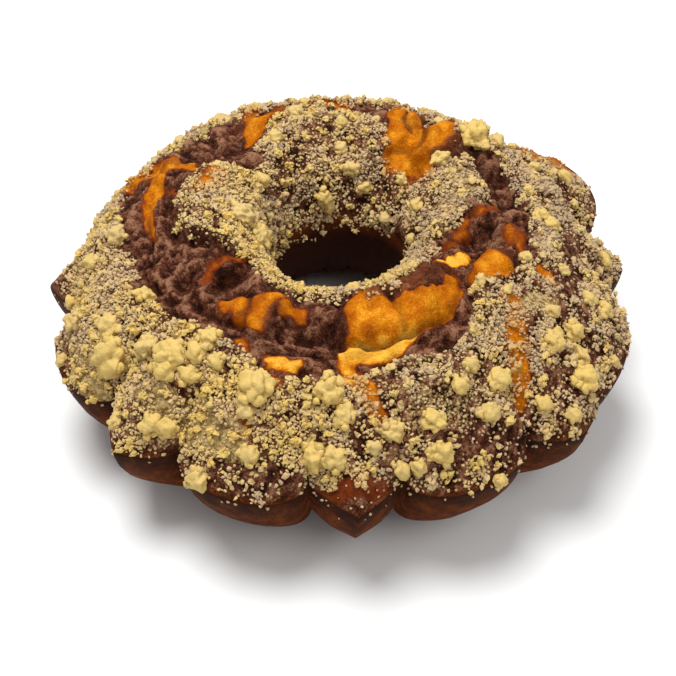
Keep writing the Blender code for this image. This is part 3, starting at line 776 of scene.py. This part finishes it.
class Heap:
    # many small meshes gathered into one piece, each point with its tint, warmth and lowness
    def __init__(self):
        self.points, self.faces, self.tint, self.warm, self.low = [], [], [], [], []
        self.count = 0

    def add(self, points, faces, tint, warm, low):
        self.points.append(points)
        self.faces.append(faces + self.count)
        self.count += len(points)
        for kept, values in ((self.tint, tint), (self.warm, warm), (self.low, low)):
            kept.append(np.broadcast_to(values, len(points)))

    def makePiece(self, name, smoothed):
        points, faces = np.concatenate(self.points), np.concatenate(self.faces)
        mesh = bpy.data.meshes.new(name)
        mesh.from_pydata((points * mm).tolist(), [], faces.tolist())
        if smoothed:
            mesh.shade_smooth()
        for key in ("tint", "warm", "low"):
            keepAttribute(mesh, key, np.concatenate(getattr(self, key)))
        piece = bpy.data.objects.new(name, mesh)
        bpy.context.scene.collection.objects.link(piece)
        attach(piece, "root")
        print(name, len(mesh.polygons), "triangles, top", round(float(points[:, 2].max()), 1))
        return piece


def scatter(name, kind, places, facing, sizes, tint, warm, lift):
    # one piece of crumbs, made from a few uneven shapes, each copy stretched and turned its own way
    heap = Heap()
    unit, faces = ball(kind)
    which = draw.integers(0, crumbs["shapes"], len(places))
    turns = turnsFor(facing)
    axes = draw.normal(size=(len(places), 3))
    axes /= np.linalg.norm(axes, axis=1, keepdims=True)
    tumble = turnsFor(axes)
    stretch = draw.uniform(*crumbs["stretch"], (len(places), 3))
    middles = places + facing * (sizes * lift)[:, None]
    for number in range(crumbs["shapes"]):
        mine = np.flatnonzero(which == number)
        shape = uneven(unit, 1.0, number + 1, 1.0, 0)
        local = shape[None] * (stretch[mine] * sizes[mine, None])[:, None, :]
        local = np.einsum("nij,nkj->nki", tumble[mine], local)
        low = 0.5 - np.einsum("nki,ni->nk", local, facing[mine]) / sizes[mine, None]
        world = local + middles[mine][:, None, :]
        shift = np.arange(len(mine))[:, None, None] * len(unit)
        heap.add(
            world.reshape(-1, 3), (faces[None] + shift).reshape(-1, 3),
            np.repeat(tint[mine], len(unit)), np.repeat(warm[mine], len(unit)), low.ravel(),
        )
    return heap.makePiece(name, False)


def yellowness(places, sizes):
    # the left side is yellower and the right side greyer, and larger crumbs are yellower
    side = np.degrees(np.arctan2(places[:, 1], places[:, 0]))
    region = 0.5 + 0.5 * np.cos(np.radians(side - crumbs["yellowSide"]))
    drift = noiseAt(places, crumbs["yellowSpacing"], 21)
    chance = draw.normal(0, 0.12, len(places))
    return np.clip(0.15 + 0.35 * region + 0.5 * drift + 0.09 * (sizes - 2) + chance, 0, 1)


print("topping: lumps")
taken = Taken(crumbs["lumpCell"])
fineTaken = Taken(crumbs["fineCell"])
lumpHeap = Heap()
balls = {level: ball(level) for level in (2, 3, 4)}
spots = np.flatnonzero(crumbed > 0.25)
lumpPlaces, lumpFacing, lumpSizes = [], [], []
for atAngle, atRadius, size in crumbs["named"]:
    turned = math.radians(atAngle)
    wanted = np.array(cake["holeMiddle"]) + atRadius * np.array([math.cos(turned), math.sin(turned)])
    nearest = spots[np.argmin(((shaped[spots, :2] - wanted) ** 2).sum(1))]
    lumpPlaces.append(np.clip(shaped[nearest], boxLow + 0.55 * size, boxHigh - 0.55 * size))
    lumpFacing.append(normals[nearest])
    lumpSizes.append(size)
    taken.add(shaped[nearest].tolist(), size)
places, facing, under = sampleCake(crumbs["lumpTries"], crumbed)
sizes = draw.uniform(*crumbs["lumpSizes"], crumbs["lumpTries"])
chosen = spread(places, sizes, crumbs["lumpCount"], taken, 0.9)
lumpPlaces = np.concatenate([lumpPlaces, places[chosen]])
lumpFacing = np.concatenate([lumpFacing, facing[chosen]])
lumpSizes = np.concatenate([lumpSizes, sizes[chosen]])
lumpTurns = turnsFor(lumpFacing)
for number, (place, size, turn) in enumerate(zip(lumpPlaces, lumpSizes, lumpTurns)):
    # one large part in the middle and smaller ones round it: place, width and fineness of each
    tint = 0.55 + 0.03 * size + draw.normal(0, 0.08)
    parts = [(0.0, 0.0, 0.14 * size, 0.84 * size, 4 if size > crumbs["finestFrom"] else 3)]
    for _ in range(int(size * crumbs["partCount"])):
        turned, away = draw.uniform(0, math.tau), draw.uniform(*crumbs["partAway"]) * size
        across = max(crumbs["leastPart"], draw.uniform(*crumbs["partWidth"]) * size)
        up = draw.uniform(*crumbs["partRise"]) * size
        parts.append((away * math.cos(turned), away * math.sin(turned), up, across, 2))
    for part, (x, y, z, across, level) in enumerate(parts):
        points, faces = balls[level]
        knobs = crumbs["lumpKnobs"] if level > 2 else 0.0
        local = uneven(points, across, number * 20 + part, crumbs["lumpSwell"], knobs)
        local = local * (1, 1, crumbs["lumpFlatness"]) + (x, y, z)
        low = 0.5 - local[:, 2] / size
        lumpHeap.add(place + local @ turn.T, faces, tint + draw.normal(0, 0.05), 0.0, low)
        centre = place + turn @ np.array([x, y, z])
        fineTaken.add(centre.tolist(), across * 0.6)
lumps = lumpHeap.makePiece("toppingLumps", True)

print("topping: clumps")
clustered = smooth(-0.3, 0.4, noiseAt(shaped, crumbs["clusterSpacing"], 31))
places, facing, under = sampleCake(crumbs["clumpTries"], crumbed * (0.15 + 0.85 * clustered))
sizes = np.full(crumbs["clumpTries"], crumbs["clumpGap"])
chosen = spread(places, sizes, crumbs["clumpCount"], taken, 0.5)
clumpTint = yellowness(places[chosen], np.full(len(chosen), 4.5))
clumpTurns = turnsFor(facing[chosen])
clumpMargin = crumbs["clumpMargin"]
clumpPlaces, clumpFacing, clumpSizes, clumpTints, clumpWarm = [], [], [], [], []
for number, i in enumerate(chosen):
    wide = draw.uniform(*crumbs["clumpWidth"])
    for _ in range(int(draw.integers(*crumbs["clumpParts"]))):
        away, turned = wide * math.sqrt(draw.random()), draw.uniform(0, math.tau)
        up = (1 - (away / wide) ** 2) * draw.uniform(0.2, 1.0) * wide * 0.7
        local = np.array([away * math.cos(turned), away * math.sin(turned), up])
        place = places[i] + clumpTurns[number] @ local
        clumpPlaces.append(np.clip(place, boxLow + clumpMargin, boxHigh - clumpMargin))
        clumpFacing.append(facing[i])
        clumpSizes.append(draw.uniform(*crumbs["clumpPartSizes"]))
        clumpTints.append(clumpTint[number] + draw.uniform(0.0, 0.25))
        clumpWarm.append(under[i])
        fineTaken.add(clumpPlaces[-1].tolist(), clumpSizes[-1])
clumps = scatter(
    "toppingClumps", "crumb", np.array(clumpPlaces), np.array(clumpFacing), np.array(clumpSizes),
    np.array(clumpTints), np.array(clumpWarm), 0.2,
)


def sprinkle(name, density):
    # one piece of loose crumbs, lying free of each other and of the clumps
    kind, between, tries, count, closeness, lift = crumbs[name]
    places, facing, under = sampleCake(tries, density)
    sizes = draw.uniform(*between, tries)
    chosen = spread(places, sizes, count, fineTaken, closeness)
    tint = yellowness(places[chosen], sizes[chosen])
    return scatter(name, kind, places[chosen], facing[chosen], sizes[chosen], tint, under[chosen], lift)


print("topping: crumbs")
wideGap, smallGap = crumbs["gapSpacing"]
cover = noiseAt(shaped, wideGap, 32) + 0.7 * noiseAt(shaped, smallGap, 33) + 0.45 * thick
gaps = 0.015 + 0.985 * smooth(0.0, 0.24, cover)
bunched = crumbed * gaps * (1 - 0.9 * coat)
loose = sprinkle("toppingCrumbs", bunched * (1 + 0.6 * thick))

print("topping: grains")
grains = sprinkle("toppingGrains", bunched * (1 + thick))

print("topping: fine grains")
overRim = smooth(-6, 1, above) * (radius > 60) * (1 - risen)
fineDensity = crumbed * (0.1 + 0.9 * gaps) * (1 - 0.5 * coat)
fineDensity = fineDensity + 0.05 * overRim + 0.05 * thin * risen * (1 - bare)
fineGrains = sprinkle("toppingFine", fineDensity)

print("materials")


def colour(red, green, blue):
    # a screen colour, 0 to 255, as the shader wants it
    parts = [c / 255 for c in (red, green, blue)]
    return (*[c / 12.92 if c <= 0.04045 else ((c + 0.055) / 1.055) ** 2.4 for c in parts], 1.0)


def newMaterial(name):
    material = bpy.data.materials.new(name)
    material.use_nodes = True
    return material, material.node_tree, material.node_tree.nodes["Principled BSDF"]


def addNode(tree, kind, **settings):
    node = tree.nodes.new("ShaderNode" + kind)
    for key, value in settings.items():
        setattr(node, key, value)
    return node


def feed(tree, socket, value):
    # a fixed value is set on the socket, anything else is linked to it
    if isinstance(value, (tuple, float)):
        socket.default_value = value
    else:
        tree.links.new(value, socket)


def noiseOn(tree, spacing, detail=3.0, roughness=0.55):
    # noise on object coordinates, its bumps this many millimetres apart
    pattern = addNode(tree, "TexNoise")
    pattern.inputs["Scale"].default_value = 1000 / spacing
    pattern.inputs["Detail"].default_value = detail
    pattern.inputs["Roughness"].default_value = roughness
    tree.links.new(addNode(tree, "TexCoord").outputs["Object"], pattern.inputs["Vector"])
    return pattern.outputs["Fac"]


def attributeOf(tree, name):
    return addNode(tree, "Attribute", attribute_name=name).outputs["Fac"]


def calculate(tree, operation, first, second=0.0, third=0.0):
    node = addNode(tree, "Math", operation=operation)
    for socket, value in zip(node.inputs, (first, second, third)):
        feed(tree, socket, value)
    return node.outputs[0]


def stirred(tree, value, pattern, amount):
    # a value moved up and down by a pattern that lies between 0 and 1
    return calculate(tree, "MULTIPLY_ADD", calculate(tree, "SUBTRACT", pattern, 0.5), amount, value)


def ramp(tree, value, *stops):
    # stops are places from 0 to 1 with a colour, or a grey as one number
    node = addNode(tree, "ValToRGB")
    elements = node.color_ramp.elements
    while len(elements) < len(stops):
        elements.new(0.5)
    for element, (place, shade) in zip(elements, stops):
        element.position = place
        element.color = shade if isinstance(shade, tuple) else (shade, shade, shade, 1.0)
    tree.links.new(value, node.inputs["Fac"])
    return node.outputs["Color"]


def mixColour(tree, factor, first, second, blend="MIX"):
    node = addNode(tree, "Mix", data_type="RGBA", blend_type=blend)
    for socket, value in ((node.inputs[0], factor), (node.inputs[6], first), (node.inputs[7], second)):
        feed(tree, socket, value)
    return node.outputs[2]


def addBump(tree, shader, heights, strength, distance):
    bump = addNode(tree, "Bump")
    bump.inputs["Strength"].default_value = strength
    bump.inputs["Distance"].default_value = distance * mm
    tree.links.new(heights, bump.inputs["Height"])
    tree.links.new(bump.outputs["Normal"], shader.inputs["Normal"])


# Screen colours of the cake, from dark to light, its patterns in millimetres, and its finish
cakeFinish = {
    "chocolate": (colour(32, 12, 6), colour(84, 44, 28), colour(144, 102, 76)),
    "seam": colour(118, 48, 12),
    "lightBatter": (colour(156, 76, 2), colour(186, 105, 5), colour(214, 138, 26), colour(240, 178, 62)),
    "toasted": (colour(58, 26, 17), colour(122, 66, 36)),
    "crust": (colour(52, 19, 1), colour(84, 36, 4), colour(116, 58, 12)),
    "darkCrust": colour(40, 16, 5),
    # the crust down the hole: its own colour at the mouth, darkening deeper in as painted shade
    "holeCrustAndShade": (colour(112, 54, 20), colour(56, 24, 12)),
    # painted shade: the dark colour that the hollow attribute lays into creases and cracks
    "crack": colour(52, 22, 10),
    "khaki": (colour(120, 94, 56), colour(174, 146, 92), colour(204, 178, 124)),
    "patterns": (6.0, 2.2, 0.8),
    "speckSpacing": 1.5,
    "roughness": 0.7,
    "specular": 0.06,
    "bump": (0.9, 0.9),  # strength and height
}


def cakeMaterial():
    material, tree, shader = newMaterial("marbledCake")
    coarseSpacing, middleSpacing, finestSpacing = cakeFinish["patterns"]
    coarse = noiseOn(tree, coarseSpacing)
    middle = noiseOn(tree, middleSpacing)
    finest = noiseOn(tree, finestSpacing, 2.0)
    speck = calculate(tree, "MULTIPLY_ADD", middle, 0.5, calculate(tree, "MULTIPLY", finest, 0.5))
    tone = calculate(tree, "MULTIPLY_ADD", coarse, 0.6, calculate(tree, "MULTIPLY", finest, 0.4))
    low, mid, high = cakeFinish["chocolate"]
    # the chocolate gets a painted highlight where its crumb stands high and painted shade where it sinks,
    # stirred by random specks of tone
    peak = stirred(tree, attributeOf(tree, "peak"), speck, 2.4)
    chocolate = ramp(tree, peak, (0.1, low), (0.5, mid), (0.95, high))
    low, mid, high, palest = cakeFinish["lightBatter"]
    # the batter is painted paler by the pale attribute, which holds a painted highlight and the strokes'
    # paler middles, and by random tone
    paler = calculate(tree, "MULTIPLY_ADD", attributeOf(tree, "pale"), 0.3, tone)
    batter = ramp(tree, paler, (0.36, low), (0.5, mid), (0.63, high), (0.76, palest))
    ragged = stirred(tree, attributeOf(tree, "light"), middle, 0.5)
    skin = mixColour(tree, ramp(tree, ragged, (0.12, 0.0), (0.38, 1.0)), chocolate, cakeFinish["seam"])
    skin = mixColour(tree, ramp(tree, ragged, (0.4, 0.0), (0.7, 1.0)), skin, batter)
    low, high = cakeFinish["toasted"]
    toasted = ramp(tree, tone, (0.4, low), (0.6, high))
    toast = stirred(tree, attributeOf(tree, "toast"), coarse, 0.6)
    skin = mixColour(tree, ramp(tree, toast, (0.25, 0.0), (0.75, 0.9)), skin, toasted)
    low, mid, high = cakeFinish["crust"]
    crust = ramp(tree, tone, (0.34, low), (0.5, mid), (0.64, high))
    upper = ramp(tree, attributeOf(tree, "wallShare"), (0.7, 0.0), (0.97, 0.9))
    crust = mixColour(tree, upper, crust, cakeFinish["darkCrust"])
    skin = mixColour(tree, attributeOf(tree, "baked"), skin, crust)
    # the crust in the hole darkens with depth as painted shade
    low, high = cakeFinish["holeCrustAndShade"]
    depth = attributeOf(tree, "inHole")
    holeCrustAndShade = ramp(tree, depth, (0.15, low), (0.6, high))
    skin = mixColour(tree, ramp(tree, depth, (0.02, 0.0), (0.2, 1.0)), skin, holeCrustAndShade)
    # painted shade darkens the creases and cracks with the crack colour
    skin = mixColour(tree, attributeOf(tree, "hollow"), skin, cakeFinish["crack"])
    # the finest crumbs, too small to model, lie between the others as pale specks
    cells = addNode(tree, "TexVoronoi")
    cells.inputs["Scale"].default_value = 1000 / cakeFinish["speckSpacing"]
    tree.links.new(addNode(tree, "TexCoord").outputs["Object"], cells.inputs["Vector"])
    parts = addNode(tree, "SeparateColor")
    tree.links.new(cells.outputs["Color"], parts.inputs["Color"])
    dusted = calculate(tree, "MULTIPLY", attributeOf(tree, "dusted"), 0.75)
    present = calculate(tree, "LESS_THAN", parts.outputs["Red"], dusted)
    roundSpeck = ramp(tree, cells.outputs["Distance"], (0.3, 1.0), (0.48, 0.0))
    speckle = calculate(tree, "MULTIPLY", present, roundSpeck)
    low, mid, high = cakeFinish["khaki"]
    khaki = ramp(tree, parts.outputs["Green"], (0.0, low), (0.5, mid), (1.0, high))
    skin = mixColour(tree, speckle, skin, khaki)
    smeared = stirred(tree, attributeOf(tree, "coat"), speck, 2.0)
    skin = mixColour(tree, ramp(tree, smeared, (0.4, 0.0), (0.7, 0.9)), skin, khaki)
    tree.links.new(skin, shader.inputs["Base Color"])
    shader.inputs["Roughness"].default_value = cakeFinish["roughness"]
    shader.inputs["Specular IOR Level"].default_value = cakeFinish["specular"]
    addBump(tree, shader, calculate(tree, "MULTIPLY_ADD", speckle, 0.4, speck), *cakeFinish["bump"])
    return material


# Screen colours of the topping, from grey to yellow
toppingFinish = {
    "tints": (colour(182, 157, 122), colour(202, 173, 126), colour(208, 179, 112), colour(214, 182, 102)),
    "warm": colour(200, 140, 66),
    "shadow": colour(128, 88, 42),
    "lumpSpacing": 2.6,  # of the tint's patches, in millimetres
    "crumbSpacing": 1.6,
    "roughness": 0.65,
    "specular": 0.25,
    "bump": 0.7,
}


def toppingMaterial(name, spacing):
    material, tree, shader = newMaterial(name)
    grey, pale, yellow, yellowest = toppingFinish["tints"]
    tint = stirred(tree, attributeOf(tree, "tint"), noiseOn(tree, spacing), 0.5)
    base = ramp(tree, tint, (0.05, grey), (0.35, pale), (0.68, yellow), (0.95, yellowest))
    warm = calculate(tree, "MULTIPLY", attributeOf(tree, "warm"), 0.5)
    base = mixColour(tree, warm, base, toppingFinish["warm"])
    low = ramp(tree, attributeOf(tree, "low"), (0.4, 0.0), (0.95, 0.8))
    base = mixColour(tree, low, base, toppingFinish["shadow"])
    tree.links.new(base, shader.inputs["Base Color"])
    shader.inputs["Roughness"].default_value = toppingFinish["roughness"]
    shader.inputs["Specular IOR Level"].default_value = toppingFinish["specular"]
    addBump(tree, shader, noiseOn(tree, spacing * 0.5), toppingFinish["bump"], spacing * 0.3)
    return material


cakeBody.data.materials.append(cakeMaterial())
lumps.data.materials.append(toppingMaterial("butterLump", toppingFinish["lumpSpacing"]))
crumbMaterial = toppingMaterial("butterCrumb", toppingFinish["crumbSpacing"])
for piece in (clumps, loose, grains, fineGrains):
    piece.data.materials.append(crumbMaterial)

print("studio")
studio = {
    "floorSize": 6.0,
    "floorColour": colour(244, 244, 242),
    "floorRoughness": 0.9,
    "worldColour": colour(250, 250, 252),
    "worldStrength": 0.42,
    "lights": {
        # place in metres, size, power
        "above": ((-0.2, 0.15, 1.1), 0.6, 12.2),
        "right": ((0.6, -0.5, 0.95), 0.8, 3.3),
    },
    "lightTarget": (0, 0, 0.04),
    "cameraPlace": (-21.1, -363.4, 394.1),  # millimetres
    "cameraTarget": (0.04, 10.67, 0.0),
    "cameraRoll": 0.54,
    "focalPixels": 1135.8,
    "imagePixels": 676,
    "sensorWidth": 36,
    "nearest": 0.01,
}
bm = bmesh.new()
bmesh.ops.create_grid(bm, x_segments=1, y_segments=1, size=studio["floorSize"] / 2)
floorMesh = bpy.data.meshes.new("floor")
bm.to_mesh(floorMesh)
bm.free()
floor = bpy.data.objects.new("floor", floorMesh)
bpy.context.scene.collection.objects.link(floor)
material, tree, shader = newMaterial("paleFloor")
shader.inputs["Base Color"].default_value = studio["floorColour"]
shader.inputs["Roughness"].default_value = studio["floorRoughness"]
floor.data.materials.append(material)

world = bpy.data.worlds.new("studio")
bpy.context.scene.world = world
world.use_nodes = True
background = world.node_tree.nodes["Background"]
background.inputs["Color"].default_value = studio["worldColour"]
background.inputs["Strength"].default_value = studio["worldStrength"]
for name, (place, size, power) in studio["lights"].items():
    lamp = bpy.data.lights.new(name, "AREA")
    lamp.shape = "DISK"
    lamp.size = size
    lamp.energy = power
    holder = bpy.data.objects.new(name, lamp)
    holder.location = place
    aim = Vector(studio["lightTarget"]) - Vector(place)
    holder.rotation_euler = aim.to_track_quat("-Z", "Y").to_euler()
    bpy.context.scene.collection.objects.link(holder)

lens = bpy.data.cameras.new("camera")
lens.sensor_width = studio["sensorWidth"]
lens.lens = studio["focalPixels"] / studio["imagePixels"] * lens.sensor_width
lens.clip_start = studio["nearest"]
camera = bpy.data.objects.new("camera", lens)
look = Vector(studio["cameraTarget"]) - Vector(studio["cameraPlace"])
roll = Matrix.Rotation(math.radians(studio["cameraRoll"]), 3, "Z")
turn = look.to_track_quat("-Z", "Y").to_matrix() @ roll
camera.matrix_world = Matrix.Translation(Vector(studio["cameraPlace"]) * mm) @ turn.to_4x4()
bpy.context.scene.collection.objects.link(camera)
bpy.context.scene.camera = camera
bpy.context.scene.view_settings.view_transform = "Standard"
